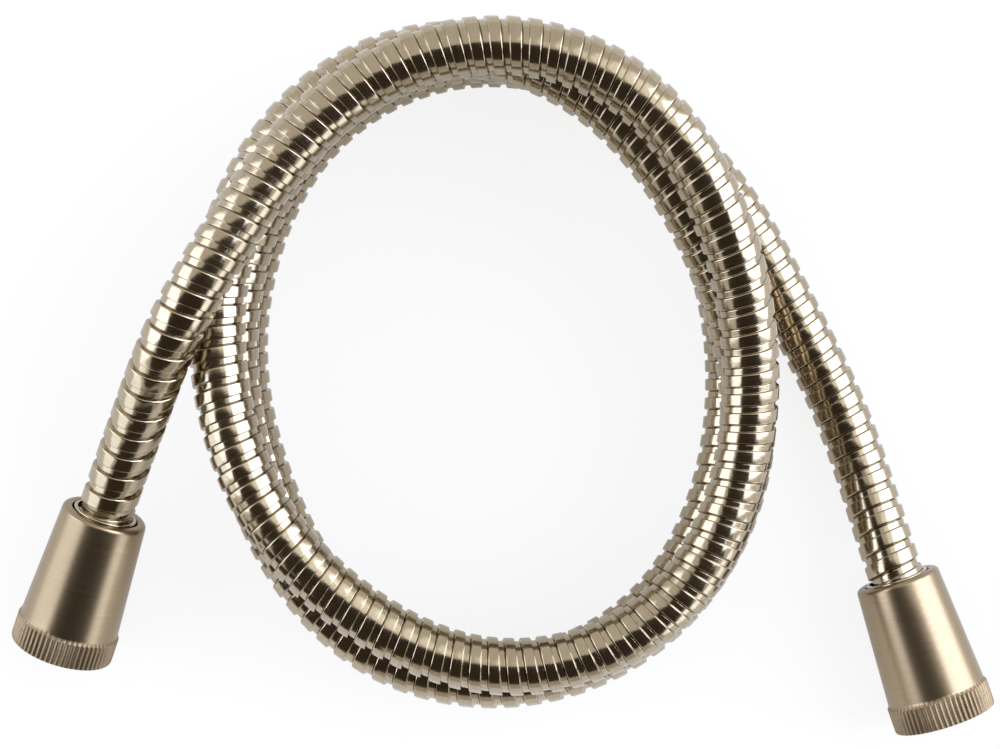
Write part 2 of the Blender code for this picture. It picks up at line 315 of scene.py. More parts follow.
class Graph:
    """A shader's node tree, built one node at a time."""

    def __init__(self, tree: bpy.types.NodeTree) -> None:
        """Take an emptied node tree."""
        self.tree = tree
        tree.nodes.clear()

    def node(self, kind: str, settings: dict, inputs: dict, output: int | str = 0) -> Socket | None:
        """Add a node.

        Args:
            kind: The node's type.
            settings: Values of its properties.
            inputs: Values or sockets of its inputs, by name or number.
            output: The output wanted, by name or number.

        Returns:
            That output's socket, or None for a node without outputs.
        """
        made = self.tree.nodes.new(kind)
        for key, value in settings.items():
            setattr(made, key, value)
        for key, value in inputs.items():
            if isinstance(value, Socket):
                self.tree.links.new(value.output, made.inputs[key])
            else:
                made.inputs[key].default_value = value
        return Socket(self, made.outputs[output]) if made.outputs else None

    def spread(self, value: "Socket | float | tuple") -> "Socket | tuple":
        """A number as three equal values; a socket or a vector stays."""
        return (value, value, value) if isinstance(value, (int, float)) else value

    def vector(self, x: "Socket | float", y: "Socket | float", z: "Socket | float") -> Socket:
        """Three numbers as a vector."""
        return self.node("ShaderNodeCombineXYZ", {}, {"X": x, "Y": y, "Z": z})

    def mix(self, factor: "Socket | float", first: tuple, second: tuple) -> Socket:
        """Blend two colours.

        Args:
            factor: 0 for the first colour, 1 for the second.
            first: Red, green, blue.
            second: Red, green, blue.

        Returns:
            The blended colour.
        """
        settings = {"data_type": "RGBA"}
        return self.node("ShaderNodeMix", settings, {0: factor, 6: (*first, 1.0), 7: (*second, 1.0)}, 2)

    def noise(self, place: Socket, scale: float) -> Socket:
        """Noise from 0 to 1 at a place."""
        return self.node("ShaderNodeTexNoise", {}, {"Vector": place, "Scale": scale})

    def bump(self, height: Socket, distance: float) -> Socket:
        """A normal from a height from 0 to 1, over a distance in metres."""
        return self.node("ShaderNodeBump", {}, {"Height": height, "Distance": distance})

    def section_place(self) -> tuple[Socket, Socket]:
        """The mesh's own two coordinates: along its section, and round its axis from 0 to 1.

        Returns:
            The two coordinates.
        """
        place = self.node("ShaderNodeUVMap", {"uv_map": UV_NAME}, {})
        along = self.node("ShaderNodeSeparateXYZ", {}, {"Vector": place}, "X")
        around = self.node("ShaderNodeSeparateXYZ", {}, {"Vector": place}, "Y")
        return along, around


UV_NAME = "section"

# Streaks: their waves round the piece, how much finer the fine ones are, and how noise becomes contrast
FINE_WAVES = 7.0
BROAD_WAVES = 3.0
BROAD_LAYER = 5.0
FINENESS = 6
FINE_SHARE = 0.6
BROAD_SHARE = 0.4
NOISE_FLOOR = 0.35
NOISE_CONTRAST = 3.0
SPECKLES_PER_METRE = 2500.0


@dataclass(frozen=True)
class Finish:
    """How a piece looks.

    Attributes:
        name: The material's name.
        colour: Base colour, linear red, green, blue.
        shade: The colour of its darker spots and streaks.
        roughness: Roughness of the smooth parts.
        spread: How much rougher the streaks are.
        metallic: 1 for metal, 0 for rubber and plastic.
        streaks: Streaks for each metre along the section; 0 for a speckled surface.
        relief: Height of the streaks or speckles in metres.
        crevice_shade: Whether the piece is the wound strip, with shade painted into its base colour in the
            gap between its turns.
    """

    name: str
    colour: Point
    shade: Point
    roughness: float
    spread: float
    metallic: float
    streaks: float
    relief: float
    crevice_shade: bool = False

    def material(self) -> bpy.types.Material:
        """The finish as a node material.

        Returns:
            The material, under the finish's name.
        """
        made = bpy.data.materials.new(self.name)
        made.use_nodes = True
        graph = Graph(made.node_tree)
        pattern = self._streak_pattern(graph) if self.streaks else self._speckle_pattern(graph)
        colour = graph.mix(pattern, self.colour, self.shade)
        # Painted shade: the wound strip's base colour is darkened in the gap between its turns
        if self.crevice_shade:
            colour = colour * (1.0 - self._crevice_shade_pattern(graph) * CREVICE_PAINTED_SHADE)
        inputs = {
            "Base Color": colour,
            "Roughness": pattern * self.spread + self.roughness,
            "Metallic": self.metallic,
            "Normal": graph.bump(pattern, self.relief),
        }
        shader = graph.node("ShaderNodeBsdfPrincipled", {}, inputs)
        graph.node("ShaderNodeOutputMaterial", {}, {"Surface": shader})
        return made

    def _streak_pattern(self, graph: Graph) -> Socket:
        """Fine lines that run round the piece, as rolling, turning or brushing leaves them.

        Args:
            graph: The material's node tree.

        Returns:
            The pattern, from 0 to 1.
        """
        along, around = graph.section_place()
        fine = graph.noise(graph.vector(along * self.streaks, around * FINE_WAVES, 0.0), 1.0)
        sparse = along * (self.streaks / FINENESS)
        broad = graph.noise(graph.vector(sparse, around * BROAD_WAVES, BROAD_LAYER), 1.0)
        return ((fine * FINE_SHARE + broad * BROAD_SHARE - NOISE_FLOOR) * NOISE_CONTRAST).clamp()

    def _crevice_shade_pattern(self, graph: Graph) -> Socket:
        """Painted shade: 1 in the gap beside each crest, falling to 0 at its edges.

        Args:
            graph: The material's node tree.

        Returns:
            The pattern, from 0 to 1.
        """
        along, around = graph.section_place()
        turns = along / CASING_MEAN_PITCH - around
        share = graph.node("ShaderNodeMath", {"operation": "FRACT"}, {0: turns})
        away = graph.node("ShaderNodeMath", {"operation": "ABSOLUTE"}, {0: share - CREVICE_SHARE})
        return ((1.0 - away / (CREVICE_WIDTH / 2)) * CREVICE_EDGE).clamp()

    def _speckle_pattern(self, graph: Graph) -> Socket:
        """Fine speckles, as moulded rubber and plastic have."""
        place = graph.node("ShaderNodeTexCoord", {}, {}, "Object")
        return ((graph.noise(place, SPECKLES_PER_METRE) - NOISE_FLOOR) * NOISE_CONTRAST).clamp()


# The strip's finish has shade painted into the gap between its turns
CASING_FINISH = Finish(
    "champagne_strip", (0.42, 0.35, 0.245), (0.355, 0.29, 0.195), 0.11, 0.12, 1.0, 3400.0, 0.000004,
    crevice_shade=True,
)
CONE_FINISH = Finish(
    "brushed_nickel", (0.315, 0.243, 0.153), (0.282, 0.215, 0.133), 0.27, 0.06, 1.0, 9000.0, 0.0000005,
)
RIM_FINISH = Finish(
    "satin_rim", (0.29, 0.217, 0.134), (0.237, 0.174, 0.104), 0.42, 0.10, 1.0, 3000.0, 0.000002,
)
FERRULE_FINISH = Finish(
    "bright_nickel", (0.48, 0.41, 0.31), (0.42, 0.36, 0.26), 0.08, 0.06, 1.0, 4200.0, 0.000001,
)
TAIL_FINISH = Finish(
    "turned_brass", (0.62, 0.47, 0.24), (0.50, 0.37, 0.18), 0.24, 0.12, 1.0, 5200.0, 0.000002,
)
TUBE_FINISH = Finish(
    "grey_rubber", (0.26, 0.26, 0.27), (0.19, 0.19, 0.20), 0.55, 0.20, 0.0, 0.0, 0.00002,
)
WASHER_FINISH = Finish(
    "black_rubber", (0.03, 0.03, 0.03), (0.02, 0.02, 0.02), 0.60, 0.20, 0.0, 0.0, 0.00002,
)
BEARING_FINISH = Finish(
    "white_acetal", (0.82, 0.81, 0.77), (0.74, 0.73, 0.68), 0.32, 0.12, 0.0, 0.0, 0.00001,
)
FINISHES = (
    CASING_FINISH, CONE_FINISH, RIM_FINISH, FERRULE_FINISH, TAIL_FINISH, TUBE_FINISH, WASHER_FINISH,
    BEARING_FINISH,
)


def solid_mesh(
    name: str, points: np.ndarray, faces: list, uvs: list, materials: list, slots: list
) -> bpy.types.Object:
    """Make a mesh object.

    Args:
        name: The object's name.
        points: One row of x, y, z for each vertex.
        faces: Vertex numbers of each face.
        uvs: One (along, around) for each corner of each face, in the faces' order.
        materials: The object's materials.
        slots: The material's number for each face.

    Returns:
        The object, linked to the scene.
    """
    mesh = bpy.data.meshes.new(name)
    mesh.from_pydata(points.tolist(), [], faces)
    layer = mesh.uv_layers.new(name=UV_NAME)
    layer.data.foreach_set("uv", np.array(uvs, dtype=np.float32).ravel())
    for material in materials:
        mesh.materials.append(material)
    mesh.polygons.foreach_set("material_index", np.array(slots, dtype=np.int32))
    mesh.shade_smooth()
    made = bpy.data.objects.new(name, mesh)
    bpy.context.scene.collection.objects.link(made)
    return made


class Route:
    """The hose's centre line, with a frame that turns as little as it can."""

    SAMPLES = 12001

    def __init__(self) -> None:
        """Lay the line along both nuts' axes and through the points between, and measure it."""
        reach = NUT_LENGTH - HOSE_END_DEPTH
        start = [tuple(LEFT_END.neck + LEFT_END.axis * reach * share) for share in (1.0, 0.5, 0.0)]
        end = [tuple(RIGHT_END.neck + RIGHT_END.axis * reach * share) for share in (0.0, 0.5, 1.0)]
        middle = LEFT_LEG + TOP_TURN + MIDDLE_TURN + BOTTOM_TURN + RIGHT_LEG
        self.points = self._spline(np.array(start + middle + end))
        steps = np.linalg.norm(np.diff(self.points, axis=0), axis=1)
        self.along = np.concatenate([[0.0], np.cumsum(steps)])
        self.length = float(self.along[-1])
        self.tangents = np.gradient(self.points, self.along, axis=0)
        self.tangents /= np.linalg.norm(self.tangents, axis=1)[:, None]
        self.normals = self._least_turning()

    def _spline(self, knots: np.ndarray) -> np.ndarray:
        """Points of the natural cubic spline through the knots.

        Args:
            knots: The points that the line passes, one row each.

        Returns:
            SAMPLES points, one row each.
        """
        chords = np.linalg.norm(np.diff(knots, axis=0), axis=1)
        at = np.concatenate([[0.0], np.cumsum(chords)])
        last = len(knots) - 1
        system = np.eye(last + 1)
        target = np.zeros_like(knots)
        for i in range(1, last):
            system[i, i - 1:i + 2] = chords[i - 1], 2 * (chords[i - 1] + chords[i]), chords[i]
            slope_before = (knots[i] - knots[i - 1]) / chords[i - 1]
            slope_after = (knots[i + 1] - knots[i]) / chords[i]
            target[i] = 6 * (slope_after - slope_before)
        bend = np.linalg.solve(system, target)
        fine = np.linspace(0.0, at[-1], self.SAMPLES)
        k = np.clip(np.searchsorted(at, fine, side="right") - 1, 0, last - 1)
        step = chords[k][:, None]
        ahead = (at[k + 1] - fine)[:, None]
        behind = (fine - at[k])[:, None]
        curve = (bend[k] * ahead ** 3 + bend[k + 1] * behind ** 3) / (6 * step)
        curve += (knots[k] / step - bend[k] * step / 6) * ahead
        return curve + (knots[k + 1] / step - bend[k + 1] * step / 6) * behind

    def _least_turning(self) -> np.ndarray:
        """Normals carried along the line, each the last one laid square to the new tangent.

        Returns:
            One unit vector for each point of the line.
        """
        normals = np.zeros_like(self.points)
        across = np.cross(self.tangents[0], (0.0, 0.0, 1.0))
        normals[0] = across / np.linalg.norm(across)
        for i in range(1, len(self.points)):
            carried = normals[i - 1] - self.tangents[i] * np.dot(normals[i - 1], self.tangents[i])
            normals[i] = carried / np.linalg.norm(carried)
        return normals

    def at(self, places: np.ndarray) -> tuple[np.ndarray, np.ndarray, np.ndarray, np.ndarray]:
        """The centre, tangent, normal and binormal at distances along the line.

        Args:
            places: The distances, in an array of any shape.

        Returns:
            Four arrays, with x, y, z as their last axis.
        """
        centre, tangent, normal = (
            np.stack([np.interp(places, self.along, rows[:, axis]) for axis in range(3)], axis=-1)
            for rows in (self.points, self.tangents, self.normals)
        )
        tangent /= np.linalg.norm(tangent, axis=-1)[..., None]
        normal -= tangent * np.sum(normal * tangent, axis=-1)[..., None]
        normal /= np.linalg.norm(normal, axis=-1)[..., None]
        return centre, tangent, normal, np.cross(tangent, normal)


@dataclass
class Casing:
    """The stripwound casing: one helical grid for its ribs, one for its bore, closed at both ends."""

    route: Route
    sides: int = 22
    rows: int = len(CASING_SECTION)
    bore_radius: float = 0.0056

    def __post_init__(self) -> None:
        """Count the turns and mark their places along the hose from its changing pitch."""
        places, pitches = zip(*PITCH_PLACES)
        fine = np.linspace(0.0, self.route.length, PITCH_SAMPLES)
        rate = 1.0 / np.interp(fine, places, pitches)
        turns = np.concatenate([[0.0], np.cumsum((rate[1:] + rate[:-1]) / 2 * np.diff(fine))])
        self.count = int(turns[-1]) - 1
        self.turn_marks = turns * (self.count + 1) / turns[-1]
        self.mark_places = fine

    def _place(self, turns: np.ndarray) -> np.ndarray:
        """Distances along the hose at turn numbers."""
        return np.interp(turns, self.turn_marks, self.mark_places)

    def _grid(
        self, shares: np.ndarray, radii: np.ndarray, tilts: np.ndarray
    ) -> tuple[np.ndarray, np.ndarray]:
        """Lay out a helical grid, one row for each share of each turn.

        Args:
            shares: Where the rows of one turn stand, as shares of the pitch.
            radii: The rows' radii.
            tilts: How far the rows' normals tilt towards the far end, in degrees.

        Returns:
            The grid's points and its normals.
        """
        rows = self.count * len(shares) + 1
        row = np.arange(rows)
        share = shares[row % len(shares)] + row // len(shares)
        turn = share[:, None] + np.arange(self.sides)[None, :] / self.sides
        angle = math.tau * np.arange(self.sides) / self.sides
        centre, tangent, normal, binormal = self.route.at(self._place(turn))
        cosine, sine = np.cos(angle)[None, :, None], np.sin(angle)[None, :, None]
        outward = cosine * normal + sine * binormal
        radius = radii[row % len(shares)][:, None, None]
        tilt = np.radians(tilts[row % len(shares)])[:, None, None]
        return centre + radius * outward, np.cos(tilt) * outward + np.sin(tilt) * tangent

    def _faces(self, per_turn: int, first: int, inward: bool) -> tuple[list, list]:
        """Join one grid's points to quads.

        Args:
            per_turn: The grid's rows in one turn.
            first: The number of its first vertex.
            inward: Whether its faces look at the axis.

        Returns:
            The quads, and for each corner its distance along in mean pitches and its share round the hose.
        """
        def number(row: int, side: int) -> int:
            """The vertex at a row and side, where the last side is the first one of the next turn."""
            return first + (row + (per_turn if side == self.sides else 0)) * self.sides + side % self.sides

        faces, uvs = [], []
        shares = [share for share, _, _ in CASING_SECTION] if per_turn == self.rows else [0.0]
        for row in range(self.count * per_turn - per_turn):
            low = row // per_turn + shares[row % per_turn]
            high = (row + 1) // per_turn + shares[(row + 1) % per_turn]
            for side in range(self.sides):
                places = [(row, side), (row, side + 1), (row + 1, side + 1), (row + 1, side)]
                quad = [number(*place) for place in places]
                here, ahead = side / self.sides, (side + 1) / self.sides
                corners = [(low, here), (low, ahead), (high, ahead), (high, here)]
                corners = [((turns + share) * CASING_MEAN_PITCH, share) for turns, share in corners]
                faces.append(quad[::-1] if inward else quad)
                uvs.extend(corners[::-1] if inward else corners)
        return faces, uvs

    def build(self, material: bpy.types.Material) -> bpy.types.Object:
        """Make the casing's mesh.

        Args:
            material: Its one material.

        Returns:
            The casing.
        """
        shares, radii, tilts = (np.array(column) for column in zip(*CASING_SECTION))
        outer, outer_normals = self._grid(shares, radii, tilts)
        level = np.array([0.0])
        bore, bore_normals = self._grid(level, np.array([self.bore_radius]), level)
        points = np.concatenate([outer.reshape(-1, 3), bore.reshape(-1, 3)])
        normals = np.concatenate([outer_normals.reshape(-1, 3), -bore_normals.reshape(-1, 3)])
        first_bore = outer.shape[0] * self.sides
        faces, uvs = self._faces(self.rows, 0, inward=False)
        bore_faces, bore_uvs = self._faces(1, first_bore, inward=True)
        end_faces = self._end_faces(first_bore)
        faces += bore_faces + end_faces
        uvs += bore_uvs + [(0.0, 0.0)] * sum(len(face) for face in end_faces)
        used, numbers = np.unique(np.concatenate(faces), return_inverse=True)
        cuts = np.cumsum([len(face) for face in faces])[:-1]
        faces = [face.tolist() for face in np.split(numbers, cuts)]
        made = solid_mesh("casing", points[used], faces, uvs, [material], [0] * len(faces))
        made.data.normals_split_custom_set_from_vertices(normals[used].tolist())
        return made

    def _end_faces(self, first_bore: int) -> list:
        """The faces that close the strip's two ends, between the ribs and the bore.

        Args:
            first_bore: The number of the bore's first vertex.

        Returns:
            The vertex numbers of each face.
        """
        faces = []
        for turn, far in ((0, False), (self.count - 1, True)):
            row = turn * self.rows
            starts = (row * self.sides, first_bore + turn * self.sides)
            next_starts = ((row + self.rows) * self.sides, first_bore + (turn + 1) * self.sides)
            for side in range(self.sides):
                last = side + 1 == self.sides
                outer, inner = (start + side for start in starts)
                outer_next, inner_next = next_starts if last else (start + side + 1 for start in starts)
                quad = [outer, inner, inner_next, outer_next]
                faces.append(quad[::-1] if far else quad)
            step = [(row + i) * self.sides for i in range(self.rows + 1)]
            step += [next_starts[1], starts[1]]
            faces.append(step[::-1] if far else step)
        return faces


@dataclass(frozen=True)
class Liner:
    """The water tube inside the casing, a plain hollow tube along the route."""

    route: Route
    radius: float = 0.0053
    bore_radius: float = 0.004
    step: float = 0.003
    sides: int = 20

    def build(self, material: bpy.types.Material) -> bpy.types.Object:
        """Make the tube.

        Args:
            material: Its one material.

        Returns:
            The tube.
        """
        count = int(self.route.length / self.step) + 1
        centre, _, normal, binormal = self.route.at(np.linspace(0.0, self.route.length, count))
        angle = math.tau * np.arange(self.sides) / self.sides
        cosine, sine = np.cos(angle)[None, :, None], np.sin(angle)[None, :, None]
        outward = cosine * normal[:, None] + sine * binormal[:, None]
        layers = [centre[:, None] + radius * outward for radius in (self.radius, self.bore_radius)]
        points = np.concatenate([layer.reshape(-1, 3) for layer in layers])
        inner = count * self.sides
        faces = []
        for side in range(self.sides):
            after = (side + 1) % self.sides
            for row in range(count - 1):
                low, high = row * self.sides, (row + 1) * self.sides
                quad = [low + side, low + after, high + after, high + side]
                faces.append(quad)
                faces.append([inner + quad[i] for i in (0, 3, 2, 1)])
            last = (count - 1) * self.sides
            faces.append([side, inner + side, inner + after, after])
            faces.append([last + side, last + after, inner + last + after, inner + last + side])
        uvs = [(0.0, 0.0)] * 4 * len(faces)
        return solid_mesh("liner", points, faces, uvs, [material], [0] * len(faces))


@dataclass(frozen=True)
class ProfilePoint:
    """One corner of a turned profile.

    Attributes:
        radius: Distance from the axis.
        depth: Depth from the nut's mouth.
        knurl: How much of the knurl's depth is cut here, from 0 to 1.
        thread: How much of the thread's height stands here, from 0 to 1.
        rim: Whether the face that follows has the rim's finish.
    """

    radius: float
    depth: float
    knurl: float = 0.0
    thread: float = 0.0
    rim: bool = False


@dataclass(frozen=True)
class Turning:
    """A closed profile turned about a nut's axis."""

    name: str
    profile: list[ProfilePoint]
    sides: int
    place: EndPlace
    sharp_angle: float = math.radians(28)

    def _rings(self) -> list[np.ndarray]:
        """One ring of points for each corner of the profile.

        Returns:
            The rings, in the profile's order.
        """
        angle = math.tau * np.arange(self.sides) / self.sides
        teeth = 0.5 - 0.5 * np.cos(angle * KNURL_GROOVES)
        rings = []
        for corner in self.profile:
            ridge = np.abs(((corner.depth / THREAD_PITCH - angle / math.tau) % 1.0) * 2 - 1)
            radius = corner.radius - corner.knurl * KNURL_DEPTH * (1 - teeth) ** 2
            radius = radius - corner.thread * THREAD_HEIGHT * ridge
            height = np.full(self.sides, NUT_LENGTH - corner.depth)
            rings.append(np.stack([radius * np.cos(angle), radius * np.sin(angle), height], axis=1))
        return rings

    def _along(self) -> list[float]:
        """Each corner's distance along the profile, and the whole round at the end.

        Returns:
            The distances.
        """
        along = [0.0]
        for corner, after in zip(self.profile, self.profile[1:] + self.profile[:1]):
            along.append(along[-1] + math.hypot(after.radius - corner.radius, after.depth - corner.depth))
        return along

    def build(self, materials: list[bpy.types.Material]) -> bpy.types.Object:
        """Make the turned piece, with its origin at the middle of the nut's neck.

        Args:
            materials: Its material, and for a nut also the rim's.

        Returns:
            The piece.
        """
        rings, along = self._rings(), self._along()
        faces, uvs, slots = [], [], []
        for ring, corner in enumerate(self.profile):
            low, high = ring * self.sides, (ring + 1) % len(rings) * self.sides
            near, far = along[ring], along[ring + 1]
            for side in range(self.sides):
                ahead = (side + 1) % self.sides
                faces.append([high + side, high + ahead, low + ahead, low + side])
                start, end = side / self.sides, (side + 1) / self.sides
                uvs.extend([(far, start), (far, end), (near, end), (near, start)])
                slots.append(1 if corner.rim else 0)
        made = solid_mesh(self.name, np.concatenate(rings), faces, uvs, materials, slots)
        made.data.set_sharp_from_angle(angle=self.sharp_angle)
        made.location = self.place.neck
        made.rotation_mode = "QUATERNION"
        made.rotation_quaternion = self.place.axis.to_track_quat("Z", "Y")
        return made


def quarter(radius: float, depth: float, size: float, points: int) -> list[ProfilePoint]:
    """Round a profile's outer edge towards the hose.

    Args:
        radius: The profile's outer radius.
        depth: The depth of its end.
        size: The rounding's radius.
        points: How many points it has.

    Returns:
        The rounding's points.
    """
    middle = (radius - size, depth - size)
    turns = [math.radians(90.0 * i / (points - 1)) for i in range(points)]
    return [ProfilePoint(middle[0] + size * math.cos(t), middle[1] + size * math.sin(t)) for t in turns]


def nut_profile() -> list[ProfilePoint]:
    """The union nut's section: knurled rim, cone, rounded neck, and bores back to the threaded mouth.

    Returns:
        The section's corners.
    """
    edge = RIM_CHAMFER
    small = 0.3 * edge
    rim = [
        ProfilePoint(RIM_RADIUS - edge, 0.0, rim=True),
        ProfilePoint(RIM_RADIUS - small, small, 0.4, rim=True),
        ProfilePoint(RIM_RADIUS, edge, 1.0, rim=True),
        ProfilePoint(RIM_RADIUS, RIM_WIDTH / 2, 1.0, rim=True),
        ProfilePoint(RIM_RADIUS, RIM_WIDTH - 0.4 * edge, 1.0, rim=True),
        ProfilePoint(RIM_RADIUS - small, RIM_WIDTH, 0.5, rim=True),
    ]
    foot = RIM_WIDTH + RIM_STEP
    rise = NUT_LENGTH - NECK_ROUNDING - foot
    narrowing = NECK_RADIUS - CONE_RADIUS
    shares = (0.0, *CONE_RINGS)
    cone = [ProfilePoint(CONE_RADIUS + narrowing * share, foot + rise * share) for share in shares]
    neck = quarter(NECK_RADIUS, NUT_LENGTH, NECK_ROUNDING, NECK_ARC_POINTS)
    bore = [
        ProfilePoint(NECK_BORE_RADIUS + 0.5 * edge, NUT_LENGTH),
        ProfilePoint(NECK_BORE_RADIUS, NUT_LENGTH - 0.5 * edge),
        ProfilePoint(NECK_BORE_RADIUS, SHOULDER_DEPTH),
        ProfilePoint(CHAMBER_RADIUS, SHOULDER_DEPTH),
        ProfilePoint(CHAMBER_RADIUS, SOCKET_DEPTH),
        ProfilePoint(THREAD_RADIUS, SOCKET_DEPTH),
    ]
    return rim + cone + neck + bore + thread_rows() + [ProfilePoint(THREAD_RADIUS + MOUTH_CHAMFER, 0.0)]


def thread_rows() -> list[ProfilePoint]:
    """The threaded bore's points from the socket's floor to the mouth; the thread runs out at both ends.

    Returns:
        The points.
    """
    relief = SOCKET_DEPTH - THREAD_RELIEF
    lead_in = MOUTH_CHAMFER + THREAD_RUN_OUT
    rows = round((relief - MOUTH_CHAMFER) / THREAD_PITCH * THREAD_ROWS_PER_TURN)
    thread = []
    for row in range(rows + 1):
        depth = relief + (MOUTH_CHAMFER - relief) * row / rows
        inner, outer = (relief - depth) / THREAD_RUN_OUT, (depth - MOUTH_CHAMFER) / lead_in
        thread.append(ProfilePoint(THREAD_RADIUS, depth, thread=min(1.0, inner, max(0.0, outer))))
    return thread


def ferrule_profile() -> list[ProfilePoint]:
    """The ferrule's section: a front wall round the tail, and a skirt that closes on the hose in a roll.

    Returns:
        The section's corners.
    """
    back = NUT_LENGTH + FERRULE_STAND
    hole = TAIL_ROOT_RADIUS + FIT
    lip = HOSE_RADIUS + 0.5 * FIT
    groove = NUT_LENGTH - GROOVE_BELOW_NECK
    outside = [
        (FERRULE_RADIUS, FERRULE_FACE),
        (FERRULE_RADIUS, groove - GROOVE_HALF_WIDTH),
        (FERRULE_RADIUS - GROOVE_DEPTH, groove),
        (FERRULE_RADIUS, groove + GROOVE_HALF_WIDTH),
    ]
    inside = [
        (lip, back),
        (lip, back - FERRULE_WALL),
        (FERRULE_BORE_RADIUS, back - FERRULE_WALL),
        (FERRULE_BORE_RADIUS, FERRULE_FLOOR),
        (hole, FERRULE_FLOOR),
        (hole, FERRULE_FACE),
    ]
    roll = quarter(FERRULE_RADIUS, back, FERRULE_ROLL, ROLL_ARC_POINTS)
    before, after = ([ProfilePoint(*corner) for corner in corners] for corners in (outside, inside))
    return before + roll + after


def tail_profile() -> list[ProfilePoint]:
    """The tail's section: a flange under the washer, a root, and a barbed stem down the tube.

    Returns:
        The section's corners.
    """
    edge = TAIL_EDGE
    corners = [
        (FLANGE_RADIUS - edge, SOCKET_DEPTH),
        (FLANGE_RADIUS, SOCKET_DEPTH + edge),
        (FLANGE_RADIUS, FLANGE_BACK),
        (TAIL_ROOT_RADIUS, FLANGE_BACK),
        (TAIL_ROOT_RADIUS, FERRULE_FLOOR),
        (STEM_RADIUS, FERRULE_FLOOR),
    ]
    first = HOSE_END_DEPTH + BARB_PITCH / 2
    for i in range(BARBS):
        rise = first + i * BARB_PITCH
        corners += [(STEM_RADIUS, rise), (BARB_RADIUS, rise), (STEM_RADIUS, rise + BARB_PITCH * BARB_SLOPE)]
    tip = first + BARBS * BARB_PITCH
    corners += [(STEM_RADIUS, tip), (TAIL_BORE_RADIUS, tip), (TAIL_BORE_RADIUS, SOCKET_DEPTH + edge)]
    corners += [(TAIL_BORE_RADIUS + edge, SOCKET_DEPTH)]
    return [ProfilePoint(*corner) for corner in corners]


def ring_profile(radius: float, bore: float, face: float, thickness: float) -> list[ProfilePoint]:
    """The section of a flat ring with small chamfers.

    Args:
        radius: Outer radius.
        bore: Inner radius.
        face: Depth of its face nearer the mouth.
        thickness: Its thickness along the axis.

    Returns:
        The section's corners.
    """
    edge = RING_CHAMFER_SHARE * thickness
    back = face + thickness
    corners = [(radius - edge, face), (radius, face + edge), (radius, back - edge), (radius - edge, back)]
    corners += [(bore + edge, back), (bore, back - edge), (bore, face + edge), (bore + edge, face)]
    return [ProfilePoint(*corner) for corner in corners]


def make_end(place: EndPlace, materials: dict[str, bpy.types.Material]) -> list[bpy.types.Object]:
    """Turn the pieces of one end and put them on their bodies.

    Args:
        place: Where the end lies.
        materials: The materials by finish name.

    Returns:
        The pieces.
    """
    side = place.side.value
    washer_face = SOCKET_DEPTH - FIT - WASHER_THICKNESS
    washer = ring_profile(WASHER_RADIUS, WASHER_BORE_RADIUS, washer_face, WASHER_THICKNESS)
    bearing = ring_profile(FLANGE_RADIUS, FERRULE_RADIUS + FIT, FLANGE_BACK + FIT, BEARING_THICKNESS)
    plan = [
        ("nut", nut_profile(), NUT_SIDES, (CONE_FINISH, RIM_FINISH), Slot.NUT, side + "_swivel"),
        ("ferrule", ferrule_profile(), RING_SIDES, (FERRULE_FINISH,), Slot.FERRULE, "hose"),
        ("tail", tail_profile(), TAIL_SIDES, (TAIL_FINISH,), Slot.TAIL, "hose"),
        ("bearing", bearing, RING_SIDES, (BEARING_FINISH,), Slot.BEARING, side + "_slide"),
        ("washer", washer, RING_SIDES, (WASHER_FINISH,), Slot.WASHER, "hose"),
    ]
    pieces = []
    for name, profile, sides, finishes, slot, body in plan:
        turning = Turning(f"{side}_turned_{name}", profile, sides, place)
        piece = turning.build([materials[finish.name] for finish in finishes])
        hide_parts(f"{side}_{name}")
        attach(piece, body)
        pieces.append(piece)
    return pieces


@dataclass(frozen=True)
class Direction:
    """A direction in degrees: its azimuth from +X, and its angle from straight up."""

    azimuth: float
    polar: float

    def at(self, distance: float, start: Point) -> Vector:
        """The point at a distance that way from a start.

        Args:
            distance: How far.
            start: Where from.

        Returns:
            The point.
        """
        azimuth, polar = math.radians(self.azimuth), math.radians(self.polar)
        level = math.sin(polar)
        way = Vector((level * math.cos(azimuth), level * math.sin(azimuth), math.cos(polar)))
        return Vector(start) + way * distance


def face_target(thing: bpy.types.Object, place: Vector, target: Point, roll: float = 0.0) -> None:
    """Put a lamp or card in the scene with its face to a target, and hide it from the camera.

    Args:
        thing: The lamp or card.
        place: Where its middle goes.
        target: The point that it faces.
        roll: How far it is turned about its middle, in degrees; 0 leaves its width level.
    """
    thing.location = place
    thing.rotation_mode = "QUATERNION"
    level = (Vector(target) - place).to_track_quat("-Z", "Y")
    thing.rotation_quaternion = level @ Quaternion((0.0, 0.0, 1.0), math.radians(roll))
    thing.visible_camera = False
    bpy.context.scene.collection.objects.link(thing)


@dataclass(frozen=True)
class Softbox:
    """A flat lamp.

    Attributes:
        name: The lamp's name.
        way: Where its middle is.
        half_width: Half its width as an angle seen from the coil.
        half_height: Half its height as an angle.
        brightness: What a mirror shows of it, where 1 is white.
        colour: Its colour.
    """

    name: str
    way: Direction
    half_width: float
    half_height: float
    brightness: float
    colour: Point

    def build(self) -> bpy.types.Object:
        """Make the lamp.

        Returns:
            The lamp.
        """
        data = bpy.data.lights.new(self.name, "AREA")
        data.shape = "RECTANGLE"
        data.size = 2 * STUDIO_RADIUS * math.tan(math.radians(self.half_width))
        data.size_y = 2 * STUDIO_RADIUS * math.tan(math.radians(self.half_height))
        data.energy = self.brightness * math.pi * data.size * data.size_y
        data.color = self.colour
        made = bpy.data.objects.new(self.name, data)
        face_target(made, self.way.at(STUDIO_RADIUS, MIDDLE), MIDDLE)
        return made


